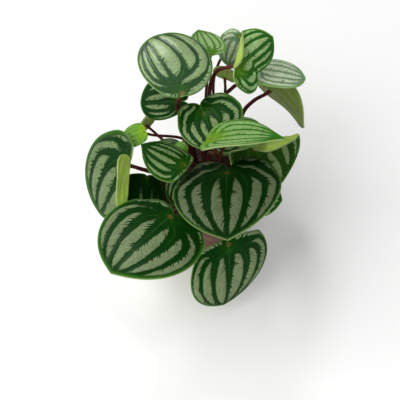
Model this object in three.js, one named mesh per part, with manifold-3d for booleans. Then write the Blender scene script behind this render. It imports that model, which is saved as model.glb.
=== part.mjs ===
// A potted peperomia: broad shield-shaped leaves on slender stalks that stand in the soil of a small round pot.
// Millimetres, +Z up. The origin is the centre of the pot's base, and the pot stands on the plane z = 0.
import * as THREE from "three";
import Module from "manifold-3d";

const wasm = await Module();
wasm.setup();

const RAD = Math.PI / 180;

// Pot
const SIDES = 32;
const POT_HEIGHT = 53;
const BASE_RADIUS = 23;
const RIM_RADIUS = 34;
const RIM_DEPTH = 10;
const WALL = 1.6;
const FLOOR = 2;
const BASE_ROUND = 1.4;
const DRAIN_COUNT = 6;
const DRAIN_RADIUS = 2.6;
const DRAIN_FROM = 16;

// Soil
const SOIL_TOP = 50;
const SOIL_GAP = 0.5;
const SOIL_RELIEF = 0.9;
const HOLE_SIDES = 8;
const HOLE_GAP = 0.45;

// Stalks
const STALK_SIDES = 6;
const STALK_RADII = [1.6, 1.1];
const SLIM_RADII = [1.1, 0.8];
const STALK_DEPTH = 4;
const STALK_LEAN = 0.04;
const STEPS_PER_SPAN = 3;
const BLADE_GAP = 0.5;

// Blades
const HALF_MIDDLE = 0.6;
const HALF_EDGE = 0.4;
const WAVE = 0.012;
const WAVES = 4;
const SEAT = 0.27;

// One record for each leaf, in millimetres, degrees and hundredths.
// at: the point of the blade over its stalk. heading, pitch, roll: the way the tip points, how far it is raised,
// and how far the right side is raised. reach, back, width: from that point to the tip, to the lobes, and across.
// arch, cup: how far the blade bends along and across. tip, notch, lobe, skew, full: the drawn-out tip, the notch
// over the stalk, the lobes beside it, the heavier side, and the fuller end, in hundredths.
// turn: a part that is folded over, toward a direction clockwise from the tip. dent: a bay in the edge.
// crease: a fold along the midrib. seat: how far the stalk is from the blade's middle, in hundredths.
// foot, via: where the stalk stands in the soil, and what it passes.
const LEAVES = [
  {
    name: "leaf_01", at: [-14, 9, 131], heading: 105, pitch: 14, roll: -5, reach: 43, back: 3, width: 38,
    arch: 25, cup: 13, tip: -1, notch: 2, lobe: -3, skew: 13, full: 16,
    seat: 44,
    foot: [-5.5, 7], via: [[-11, 7, 87], [-17, 14, 112]], slim: false,
  },
  {
    name: "leaf_02", at: [2, 45, 120], heading: 108, pitch: 3, roll: -11, reach: 19, back: 1, width: 18,
    arch: 21, cup: 0, tip: 12, notch: 9, lobe: 1, skew: 17, full: 15,
    foot: [-1, 12], via: [[-1, 27, 88], [0, 37, 107]], slim: true,
  },
  {
    name: "leaf_03", at: [19, 66, 110], heading: -120, pitch: -54, roll: 38, reach: 19, back: 4, width: 22,
    arch: 21, cup: 19, tip: 7, notch: 9, lobe: 6, skew: 4, full: -9,
    foot: [6.5, 12.5], via: [[5, 28, 72], [5, 55, 89]], slim: true,
  },
  {
    name: "leaf_04", at: [17, 33, 125], heading: 44, pitch: -2, roll: -38, reach: 30, back: 7, width: 38,
    arch: 20, cup: 40, tip: 9, notch: 16, lobe: 4, skew: 23, full: -8,
    turn: { toward: -123, start: 0, radius: 2, angle: 88 }, dent: { toward: 47, depth: 40, spread: 17 },
    foot: [1.5, 6.5], via: [[1, 26, 103], [5, 33, 119]], slim: false,
  },
  {
    name: "leaf_05", at: [29, 46, 104], heading: -3, pitch: 1, roll: 24, reach: 29, back: 6, width: 33,
    arch: 22, cup: 9, tip: 3, notch: 7, lobe: 0, skew: -4, full: 9,
    foot: [7.5, 7], via: [[7, 31, 88], [15, 38, 97]], slim: false,
  },
  {
    name: "leaf_06", at: [39, 50, 78], heading: -36, pitch: -10, roll: 75, reach: 29, back: 10, width: 41,
    arch: 29, cup: -15, tip: 7, notch: 12, lobe: 4, skew: 25, full: 7,
    foot: [14, 8.5], via: [[21, 32, 76], [28, 41, 79]], slim: false,
  },
  {
    name: "leaf_07", at: [11, 48, 94], heading: -56, pitch: 80, roll: 53, reach: 15, back: 2, width: 16,
    arch: 17, cup: 16, tip: 8, notch: 12, lobe: 4, skew: 3, full: -1,
    foot: [2, 17.5], via: [[10, 38, 82], [11, 43, 89]], slim: true,
  },
  {
    name: "leaf_08", at: [-17, 21, 107], heading: 179, pitch: -5, roll: 30, reach: 22, back: 8, width: 25,
    arch: 22, cup: 18, tip: 1, notch: 16, lobe: 0, skew: 30, full: 20,
    foot: [-6.5, 14], via: [[-10, 20, 73], [-14, 23, 89]], slim: false,
  },
  {
    name: "leaf_09", at: [-2, 3, 120], heading: -72, pitch: 8, roll: -10, reach: 23, back: 13, width: 42,
    arch: 28, cup: 0, tip: 1, notch: 10, lobe: 6, skew: -13, full: -28,
    foot: [2.5, 1], via: [[-3, -3, 92], [-2, 0, 108]], slim: false,
  },
  {
    name: "leaf_10", at: [2, -24, 135], heading: -2, pitch: 29, roll: 32, reach: 31, back: 6, width: 35,
    arch: 27, cup: -9, tip: 25, notch: 12, lobe: 1, skew: -17, full: -21,
    foot: [2.5, -5], via: [[1, -7, 93], [4, -23, 120]], slim: false,
  },
  {
    name: "leaf_11", at: [-37, 11, 90], heading: -165, pitch: -17, roll: 18, reach: 15, back: 2, width: 13,
    arch: 25, cup: 13, tip: 5, notch: 12, lobe: 2, skew: 12, full: 5,
    foot: [-16.5, 3.5], via: [[-12, 13, 77], [-33, 12, 86]], slim: true,
  },
  {
    name: "leaf_12", at: [-37, 25, 77], heading: 46, pitch: 66, roll: 84, reach: 15, back: 5, width: 18,
    arch: 22, cup: 13, tip: 6, notch: 12, lobe: 5, skew: 5, full: 1,
    foot: [-11.5, 7], via: [[-23, 16, 67], [-31, 21, 74]], slim: true,
  },
  {
    name: "leaf_13", at: [-46, -8, 84], heading: -140, pitch: -45, roll: -4, reach: 39, back: 13, width: 60,
    arch: 22, cup: 10, tip: 2, notch: 22, lobe: 7, skew: 15, full: -10,
    turn: { toward: -124, start: -1, radius: 4, angle: 79 },
    foot: [-14, -5], via: [[-30, -3, 66], [-39, -6, 77]], slim: false,
  },
  {
    name: "leaf_14", at: [-12, -20, 103], heading: 148, pitch: 2, roll: -9, reach: 26, back: 2, width: 25,
    arch: 12, cup: 17, tip: 13, notch: 9, lobe: 0, skew: -25, full: 3,
    foot: [-1, -9.5], via: [[-1, -12, 73], [-12, -14, 90]], slim: false,
  },
  {
    name: "leaf_15", at: [-18, 3, 90], heading: 157, pitch: -11, roll: -36, reach: 12, back: 4, width: 14,
    arch: 22, cup: 17, tip: 5, notch: 12, lobe: 4, skew: 0, full: 0,
    foot: [-6.5, -4], via: [[-7, -4, 64], [-9, 0, 75]], slim: true,
  },
  {
    name: "leaf_16", at: [-36, -5, 65], heading: -87, pitch: -2, roll: 22, reach: 28, back: 3, width: 30,
    arch: 33, cup: 24, tip: 4, notch: 12, lobe: 2, skew: 30, full: 13,
    foot: [-11, 0], via: [[-16, 1, 57], [-30, -2, 57.5]], slim: false,
  },
  {
    name: "leaf_17", at: [-21, -43, 85], heading: -128, pitch: 22, roll: -2, reach: 49, back: 8, width: 59,
    arch: 22, cup: 16, tip: 5, notch: 15, lobe: 7, skew: -2, full: -4,
    foot: [-4.5, -15], via: [[-6, -23, 66], [-19, -37, 79]], slim: false,
  },
  {
    name: "leaf_18", at: [11, -24, 101], heading: -94, pitch: 27, roll: -11, reach: 43, back: 17, width: 62,
    arch: 44, cup: 1, tip: 8, notch: 18, lobe: 8, skew: -1, full: -7,
    foot: [8.5, -7.5], via: [[8, -10, 81], [9, -18, 93]], slim: false,
  },
  {
    name: "leaf_19", at: [12, -48, 62], heading: -80, pitch: -52, roll: 22, reach: 45, back: 4, width: 51,
    arch: 32, cup: 21, tip: 5, notch: 9, lobe: 0, skew: -16, full: 19,
    foot: [3.5, -13.5], via: [[5, -18, 63], [6, -25, 64]], slim: false,
  },
  {
    name: "leaf_20", at: [27, -3, 93], heading: -28, pitch: -49, roll: -20, reach: 31, back: 15, width: 50,
    arch: 15, cup: -12, tip: 1, notch: 12, lobe: 5, skew: -10, full: -3,
    turn: { toward: -149, start: 0, radius: 4, angle: 100 },
    foot: [14, -5.5], via: [[16, -6, 63], [17, -5, 67]], slim: false,
  },
  {
    name: "leaf_21", at: [5, 5, 94], heading: -1, pitch: -14, roll: -6, reach: 14, back: 7, width: 20,
    arch: 26, cup: 15, tip: 5, notch: 12, lobe: 4, skew: 1, full: 3,
    foot: [12.5, 2.5], via: [[14, 3, 65], [13, 4, 71]], slim: true,
  },
  {
    name: "leaf_22", at: [24, -28, 87], heading: 2, pitch: -24, roll: -24, reach: 21, back: 6, width: 25,
    arch: 24, cup: 15, tip: 9, notch: 12, lobe: 4, skew: 1, full: 0,
    foot: [10, -14], via: [[16, -23, 68], [20, -26, 76]], slim: true,
  },
  {
    name: "leaf_23", at: [14, -2, 111], heading: 12, pitch: -6, roll: 5, reach: 19, back: 6, width: 23,
    arch: 24, cup: 16, tip: 3, notch: 12, lobe: 4, skew: 2, full: 0,
    foot: [8, -1.5], via: [[9, -3, 68], [7, -8, 93]], slim: true,
  },
  {
    name: "leaf_24", at: [-18, 5, 76], heading: 168, pitch: -6, roll: 6, reach: 18, back: 5, width: 21,
    arch: 25, cup: 15, tip: 5, notch: 12, lobe: 4, skew: 1, full: -1,
    foot: [-4.5, 1.5], via: [[-6, 2, 63], [-9, 3, 66]], slim: true,
  },
  {
    name: "leaf_25", at: [-12, -8, 71], heading: -128, pitch: -32, roll: -1, reach: 18, back: 6, width: 22,
    arch: 26, cup: 15, tip: 8, notch: 12, lobe: 4, skew: 2, full: -2,
    foot: [-7.5, -10], via: [[-9, -10, 63], [-11, -8, 68]], slim: true,
  },
  {
    name: "leaf_26", at: [-13, -4, 95], heading: 165, pitch: 35, roll: 20, reach: 6, back: 2, width: 8,
    arch: 70, cup: 10, tip: 8, notch: 8, lobe: 2, skew: 0, full: 0,
    crease: 50,
    foot: [-1.5, -4], via: [[-3, -5, 72], [-8, -7, 86]], slim: true,
  },];

// ---- Blades ----------------------------------------------------------------------------------------------

// Distance of the edge from the stalk, for a blade of unit length, in the direction theta from the tip.
function outline(theta, tip, notch, lobe, seat) {
  const a = Math.abs(theta);
  const shield = seat * Math.cos(a) + Math.sqrt(0.25 - (seat * Math.sin(a)) ** 2);
  const lobes = lobe * Math.exp(-(((a - 2.4) / 0.5) ** 2));
  const point = tip * Math.exp(-a / 0.2);
  const bay = notch * Math.exp(-(Math.PI - a) / 0.3);
  return shield + lobes + point - bay;
}

// The plain outline's own half width, and how far it reaches behind the stalk.
let HALF_WIDTH = 0;
let BEHIND = 0;
for (let i = 0; i <= 720; i++) {
  const theta = (Math.PI * i) / 720;
  HALF_WIDTH = Math.max(HALF_WIDTH, outline(theta, 0, 0, 0.04, SEAT) * Math.sin(theta));
  BEHIND = Math.max(BEHIND, -outline(theta, 0, 0, 0.04, SEAT) * Math.cos(theta));
}

function wrap(angle) {
  return Math.atan2(Math.sin(angle), Math.cos(angle));
}

// A point of the flat blade: x to the right of the tip, y toward it. rho runs from 0 at the stalk to 1 at the edge.
function flatPoint(leaf, theta, rho) {
  const seat = leaf.seat ? leaf.seat / 100 : SEAT;
  let r = outline(theta, leaf.tip / 100, leaf.notch / 100, leaf.lobe / 100, seat);
  if (leaf.dent) {
    const off = wrap(theta - leaf.dent.toward * RAD) / (leaf.dent.spread * RAD);
    r *= 1 - (leaf.dent.depth / 100) * Math.exp(-off * off);
  }
  const s = Math.sin(theta);
  const c = Math.cos(theta);
  const side = (leaf.width / (2 * HALF_WIDTH)) * (1 + (leaf.skew / 100) * s) * (1 + (leaf.full / 100) * c);
  const length = c > 0 ? leaf.reach / (0.5 + seat) : leaf.back / (BEHIND + SEAT - seat);
  return [rho * r * s * side, rho * r * c * length];
}

// The blade's waves, crease and turned-over part, then its cup across and its arch along.
function bend(leaf, x0, y0, theta, rho, index) {
  let x = x0;
  let y = y0;
  let z = WAVE * leaf.width * rho * rho * Math.sin(WAVES * theta + index);
  if (leaf.crease) {
    z += Math.tan(leaf.crease * RAD) * (Math.hypot(x, 3) - 3);
    x *= Math.cos(leaf.crease * RAD);
  }
  if (leaf.turn) {
    const { toward, start, radius, angle } = leaf.turn;
    const dx = Math.sin(toward * RAD);
    const dy = Math.cos(toward * RAD);
    const past = x * dx + y * dy - start;
    if (past > 0) {
      const a = Math.min(past / radius, angle * RAD);
      const over = Math.max(past - radius * angle * RAD, 0);
      const inner = radius - z;
      const along = inner * Math.sin(a) + over * Math.cos(a);
      x += dx * (along - past);
      y += dy * (along - past);
      z = radius - inner * Math.cos(a) + over * Math.sin(a);
    }
  }
  const k = (leaf.cup * RAD) / (leaf.width / 2);
  if (Math.abs(k) > 1e-9) {
    const across = x;
    x = (1 / k + z) * Math.sin(k * across);
    z = (1 / k + z) * Math.cos(k * across) - 1 / k;
  }
  const m = (leaf.arch * RAD) / (leaf.reach + leaf.back);
  if (Math.abs(m) > 1e-9) {
    const along = y;
    y = (1 / m + z) * Math.sin(m * along);
    z = (1 / m + z) * Math.cos(m * along) - 1 / m;
  }
  return [x, y, z];
}

// The blade's own axes: right of the tip, toward the tip, and up out of its upper face.
function axesOf(leaf) {
  const h = leaf.heading * RAD;
  const p = leaf.pitch * RAD;
  const r = leaf.roll * RAD;
  const tip = new THREE.Vector3(Math.cos(h) * Math.cos(p), Math.sin(h) * Math.cos(p), Math.sin(p));
  const level = new THREE.Vector3(Math.sin(h), -Math.cos(h), 0);
  const upright = level.clone().cross(tip);
  const side = level.multiplyScalar(Math.cos(r)).addScaledVector(upright, Math.sin(r));
  const face = side.clone().cross(tip);
  return { side, tip, face };
}

function bladePoint(leaf, axes, theta, rho, index) {
  const [fx, fy] = flatPoint(leaf, theta, rho);
  const [x, y, z] = bend(leaf, fx, fy, theta, rho, index);
  const point = new THREE.Vector3(...leaf.at);
  return point.addScaledVector(axes.side, x).addScaledVector(axes.tip, y).addScaledVector(axes.face, z);
}

// Spokes stand closer together at the tip and at the notch.
function spokeAngle(i, count) {
  const even = -Math.PI + (2 * Math.PI * i) / count;
  return even - 0.15 * Math.sin(2 * even);
}

function bladeGeometry(leaf, index) {
  const small = leaf.width < 27;
  const spokes = leaf.turn ? 26 : small ? 18 : 22;
  const rings = leaf.turn ? 7 : small ? 3 : 4;
  const axes = axesOf(leaf);
  const middle = [bladePoint(leaf, axes, 0, 0, index)];
  const depth = [0];
  for (let j = 1; j <= rings; j++) {
    for (let i = 0; i < spokes; i++) {
      middle.push(bladePoint(leaf, axes, spokeAngle(i, spokes), j / rings, index));
      depth.push(j / rings);
    }
  }
  const at = (j, i) => (j === 0 ? 0 : 1 + (j - 1) * spokes + (i % spokes));
  const faces = [];
  for (let i = 0; i < spokes; i++) {
    faces.push([0, at(1, i + 1), at(1, i)]);
    for (let j = 1; j < rings; j++) {
      faces.push([at(j, i), at(j, i + 1), at(j + 1, i + 1)]);
      faces.push([at(j, i), at(j + 1, i + 1), at(j + 1, i)]);
    }
  }
  const normals = middle.map(() => new THREE.Vector3());
  for (const [a, b, c] of faces) {
    const u = middle[b].clone().sub(middle[a]);
    const v = middle[c].clone().sub(middle[a]);
    const n = u.cross(v);
    for (const corner of [a, b, c]) normals[corner].add(n);
  }
  normals.forEach((n) => n.normalize());
  const half = depth.map((rho) => HALF_MIDDLE + (HALF_EDGE - HALF_MIDDLE) * rho);
  const upper = middle.map((p, i) => p.clone().addScaledVector(normals[i], half[i]));
  const under = middle.map((p, i) => p.clone().addScaledVector(normals[i], -half[i]));
  const count = middle.length;
  const all = [...faces];
  for (const [a, b, c] of faces) all.push([a + count, c + count, b + count]);
  for (let i = 0; i < spokes; i++) {
    const a = at(rings, i);
    const b = at(rings, i + 1);
    all.push([a, b, b + count], [a, b + count, a + count]);
  }
  return solid([...upper, ...under], all);
}

// ---- Stalks ----------------------------------------------------------------------------------------------

function faceNormal(leaf, axes, index) {
  const e = 1e-3;
  const right = bladePoint(leaf, axes, Math.PI / 2, e, index);
  const left = bladePoint(leaf, axes, -Math.PI / 2, e, index);
  const front = bladePoint(leaf, axes, 0, e, index);
  const rear = bladePoint(leaf, axes, Math.PI, e, index);
  return right.sub(left).cross(front.sub(rear)).normalize();
}

function radiiOf(leaf) {
  return leaf.slim ? SLIM_RADII : STALK_RADII;
}

function leanOf(leaf) {
  return new THREE.Vector3(leaf.foot[0] * STALK_LEAN, leaf.foot[1] * STALK_LEAN, 1).normalize();
}

// The stalk's centre line: straight in the soil, then a smooth curve to just under the blade.
function stalkPath(leaf, index) {
  const axes = axesOf(leaf);
  const n = faceNormal(leaf, axes, index);
  const top = bladePoint(leaf, axes, 0, 0, index);
  const foot = new THREE.Vector3(leaf.foot[0], leaf.foot[1], SOIL_TOP);
  const knots = [foot, ...leaf.via.map((v) => new THREE.Vector3(...v)), top.clone().addScaledVector(n, -0.8)];
  const arrive = knots[3].clone().sub(knots[2]).normalize().multiplyScalar(0.6).addScaledVector(n, 0.7);
  arrive.normalize();
  const tilt = Math.sqrt(Math.max(0, 1 - arrive.dot(n) ** 2));
  knots[3] = top.addScaledVector(n, -(HALF_MIDDLE + BLADE_GAP + radiiOf(leaf)[1] * tilt));
  const chord = [0, 1, 2].map((i) => knots[i].distanceTo(knots[i + 1]));
  const t = [0];
  for (const c of chord) t.push(t[t.length - 1] + Math.sqrt(c));
  const slope = [
    leanOf(leaf).multiplyScalar(chord[0] / t[1]),
    knots[2].clone().sub(knots[0]).divideScalar(t[2]),
    knots[3].clone().sub(knots[1]).divideScalar(t[3] - t[1]),
    arrive.multiplyScalar(chord[2] / (t[3] - t[2])),
  ];
  const path = [foot.clone().addScaledVector(leanOf(leaf), -STALK_DEPTH), foot.clone()];
  for (let i = 0; i < 3; i++) {
    const h = t[i + 1] - t[i];
    for (let j = 1; j <= STEPS_PER_SPAN; j++) {
      const s = j / STEPS_PER_SPAN;
      const point = new THREE.Vector3();
      point.addScaledVector(knots[i], 2 * s ** 3 - 3 * s ** 2 + 1);
      point.addScaledVector(slope[i], (s ** 3 - 2 * s ** 2 + s) * h);
      point.addScaledVector(knots[i + 1], 3 * s ** 2 - 2 * s ** 3);
      point.addScaledVector(slope[i + 1], (s ** 3 - s ** 2) * h);
      path.push(point);
    }
  }
  return path;
}

// A closed round bar along a path, its radius running evenly from the first value to the last.
function bar(path, radii, sides) {
  const count = path.length;
  const points = [];
  const faces = [];
  let across = null;
  for (let k = 0; k < count; k++) {
    const before = path[Math.max(k - 1, 0)];
    const after = path[Math.min(k + 1, count - 1)];
    const way = after.clone().sub(before).normalize();
    if (!across) across = new THREE.Vector3(1, 0, 0);
    if (k === 0 && Math.abs(way.x) > 0.9) across = new THREE.Vector3(0, 1, 0);
    across.addScaledVector(way, -across.dot(way)).normalize();
    const other = way.clone().cross(across);
    const r = radii[0] + ((radii[1] - radii[0]) * k) / (count - 1);
    for (let i = 0; i < sides; i++) {
      const a = (2 * Math.PI * i) / sides;
      const point = path[k].clone().addScaledVector(across, r * Math.cos(a));
      points.push(point.addScaledVector(other, r * Math.sin(a)));
    }
  }
  for (let k = 0; k < count - 1; k++) {
    for (let i = 0; i < sides; i++) {
      const a = k * sides + i;
      const b = k * sides + ((i + 1) % sides);
      faces.push([a, b, b + sides], [a, b + sides, a + sides]);
    }
  }
  const last = (count - 1) * sides;
  for (let i = 1; i < sides - 1; i++) {
    faces.push([0, i + 1, i], [last, last + i, last + i + 1]);
  }
  return { points, faces };
}

function stalkGeometry(leaf, index) {
  const { points, faces } = bar(stalkPath(leaf, index), radiiOf(leaf), STALK_SIDES);
  return solid(points, faces);
}

// ---- Pot and soil ----------------------------------------------------------------------------------------

// Turns a profile about the z axis. The profile starts and ends on the axis; lift may raise a ring's points.
function turned(profile, lift = () => 0) {
  const points = [];
  const faces = [];
  const start = [];
  profile.forEach(([r, z], k) => {
    start.push(points.length);
    const ring = r === 0 ? 1 : SIDES;
    for (let i = 0; i < ring; i++) {
      const a = (2 * Math.PI * i) / SIDES;
      points.push(new THREE.Vector3(r * Math.cos(a), r * Math.sin(a), z + lift(k, i)));
    }
  });
  for (let k = 0; k < profile.length - 1; k++) {
    for (let i = 0; i < SIDES; i++) {
      const next = (i + 1) % SIDES;
      const [a, b] = profile[k][0] === 0 ? [start[k], start[k]] : [start[k] + i, start[k] + next];
      const ends = profile[k + 1][0] === 0 ? [start[k + 1], start[k + 1]] : [start[k + 1] + next, start[k + 1] + i];
      const [c, d] = ends;
      if (a !== b) faces.push([a, b, c]);
      if (c !== d) faces.push([a, c, d]);
    }
  }
  return { points, faces };
}

function toBody({ points, faces }) {
  const vertProperties = new Float32Array(points.flatMap((p) => [p.x, p.y, p.z]));
  const triVerts = new Uint32Array(faces.flat());
  return new wasm.Manifold(new wasm.Mesh({ numProp: 3, vertProperties, triVerts }));
}

function toGeometry(body) {
  const mesh = body.getMesh();
  const geometry = new THREE.BufferGeometry();
  geometry.setAttribute("position", new THREE.BufferAttribute(new Float32Array(mesh.vertProperties), 3));
  geometry.setIndex(new THREE.BufferAttribute(new Uint32Array(mesh.triVerts), 1));
  return geometry;
}

function solid(points, faces) {
  const geometry = new THREE.BufferGeometry();
  geometry.setAttribute("position", new THREE.Float32BufferAttribute(points.flatMap((p) => [p.x, p.y, p.z]), 3));
  geometry.setIndex(faces.flat());
  return geometry;
}

const RIM_FOOT = POT_HEIGHT - RIM_DEPTH;
const WALL_TOP = RIM_RADIUS - 3.4;
const MOUTH = RIM_RADIUS - 2.8;

function potGeometry() {
  const profile = [
    [0, 0],
    [BASE_RADIUS - BASE_ROUND, 0],
    [BASE_RADIUS, BASE_ROUND],
    [WALL_TOP, RIM_FOOT - 0.4],
    [RIM_RADIUS - 0.9, RIM_FOOT],
    [RIM_RADIUS - 0.1, RIM_FOOT + 1],
    [RIM_RADIUS, POT_HEIGHT - 1.6],
    [RIM_RADIUS - 0.6, POT_HEIGHT - 0.4],
    [RIM_RADIUS - 1.6, POT_HEIGHT],
    [MOUTH + 0.4, POT_HEIGHT - 0.4],
    [MOUTH, POT_HEIGHT - 1.4],
    [WALL_TOP - WALL, RIM_FOOT - 0.4],
    [BASE_RADIUS - WALL, FLOOR + 1.2],
    [BASE_RADIUS - WALL - 1.4, FLOOR],
    [0, FLOOR],
  ];
  let pot = toBody(turned(profile));
  for (let i = 0; i < DRAIN_COUNT; i++) {
    const a = (2 * Math.PI * (i + 0.5)) / DRAIN_COUNT;
    const ray = (r) => new THREE.Vector3(r * Math.cos(a), r * Math.sin(a), BASE_ROUND);
    pot = pot.subtract(toBody(bar([ray(DRAIN_FROM), ray(BASE_RADIUS + 5)], [DRAIN_RADIUS, DRAIN_RADIUS], 8)));
  }
  return toGeometry(pot);
}

// Small seeded generator for the unevenness of the soil.
function seeded(seed) {
  let state = seed;
  return () => {
    state = (Math.imul(state, 1664525) + 1013904223) >>> 0;
    return state / 4294967296;
  };
}

function soilGeometry() {
  const random = seeded(7);
  const brim = MOUTH - ((MOUTH - WALL_TOP + WALL) * (POT_HEIGHT - 1.4 - SOIL_TOP)) / (RIM_DEPTH - 1) - SOIL_GAP;
  const profile = [
    [0, FLOOR + SOIL_GAP],
    [BASE_RADIUS - WALL - 1.4 - SOIL_GAP, FLOOR + SOIL_GAP],
    [BASE_RADIUS - WALL - SOIL_GAP, FLOOR + 1.2 + SOIL_GAP],
    [WALL_TOP - WALL - SOIL_GAP, RIM_FOOT - 0.4],
    [brim, SOIL_TOP - 0.6],
    [brim - 3, SOIL_TOP],
    [brim - 7, SOIL_TOP],
    [brim - 11, SOIL_TOP],
    [0, SOIL_TOP],
  ];
  const lift = (k) => {
    if (k < 5) return 0;
    const uneven = k < 7 ? SOIL_RELIEF : 0.3;
    return uneven * (random() - 0.5);
  };
  let soil = toBody(turned(profile, lift));
  for (const leaf of LEAVES) {
    const lean = leanOf(leaf);
    const foot = new THREE.Vector3(leaf.foot[0], leaf.foot[1], SOIL_TOP);
    const low = foot.clone().addScaledVector(lean, -STALK_DEPTH - HOLE_GAP);
    const high = foot.clone().addScaledVector(lean, 3);
    const r = (radiiOf(leaf)[0] + HOLE_GAP) / Math.cos(Math.PI / HOLE_SIDES);
    soil = soil.subtract(toBody(bar([low, high], [r, r], HOLE_SIDES)));
  }
  return toGeometry(soil);
}

// ---- The whole -------------------------------------------------------------------------------------------

const group = new THREE.Group();

function add(name, geometry, color, roughness) {
  const mesh = new THREE.Mesh(geometry, new THREE.MeshStandardMaterial({ color, roughness }));
  mesh.name = name;
  group.add(mesh);
}

add("pot", potGeometry(), 0xa8583a, 0.6);
add("soil", soilGeometry(), 0x2e2018, 0.95);
LEAVES.forEach((leaf, index) => {
  add(`${leaf.name}_stalk`, stalkGeometry(leaf, index), 0x4a1c16, 0.5);
  add(`${leaf.name}_blade`, bladeGeometry(leaf, index), 0x4f8a3c, 0.4);
});

export default group;
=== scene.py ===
"""A potted peperomia: striped shield-shaped leaves on slender stalks, standing in the soil of a small pot."""
import math
import random

import bpy
import numpy as np
from bpy.props import FloatProperty, FloatVectorProperty, IntProperty, PointerProperty
from bpy.types import Operator, Panel, PropertyGroup
from mathutils import Matrix, Vector, noise
from numpy.linalg import norm


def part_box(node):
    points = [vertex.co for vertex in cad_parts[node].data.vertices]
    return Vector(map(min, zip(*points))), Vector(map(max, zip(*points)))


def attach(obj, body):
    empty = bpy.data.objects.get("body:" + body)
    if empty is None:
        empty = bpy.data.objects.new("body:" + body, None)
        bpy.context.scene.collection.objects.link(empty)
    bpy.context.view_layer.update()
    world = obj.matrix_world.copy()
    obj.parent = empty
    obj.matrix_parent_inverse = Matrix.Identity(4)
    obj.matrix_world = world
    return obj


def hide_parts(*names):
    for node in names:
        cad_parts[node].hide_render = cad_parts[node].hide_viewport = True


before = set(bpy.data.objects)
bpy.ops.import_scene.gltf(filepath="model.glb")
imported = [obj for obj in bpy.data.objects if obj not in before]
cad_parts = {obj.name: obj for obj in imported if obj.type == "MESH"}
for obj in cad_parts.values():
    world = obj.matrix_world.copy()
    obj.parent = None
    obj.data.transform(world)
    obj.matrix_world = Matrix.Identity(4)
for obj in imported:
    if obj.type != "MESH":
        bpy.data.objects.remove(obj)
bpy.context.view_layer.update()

bl_info = {
    "name": "Potted peperomia",
    "version": (1, 0, 0),
    "blender": (4, 5, 0),
    "location": "View3D > Sidebar > Peperomia",
    "description": "Models a potted peperomia with striped leaves, and a plain studio stage",
    "category": "Object",
}

MM = 0.001
RAD = math.pi / 180

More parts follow.
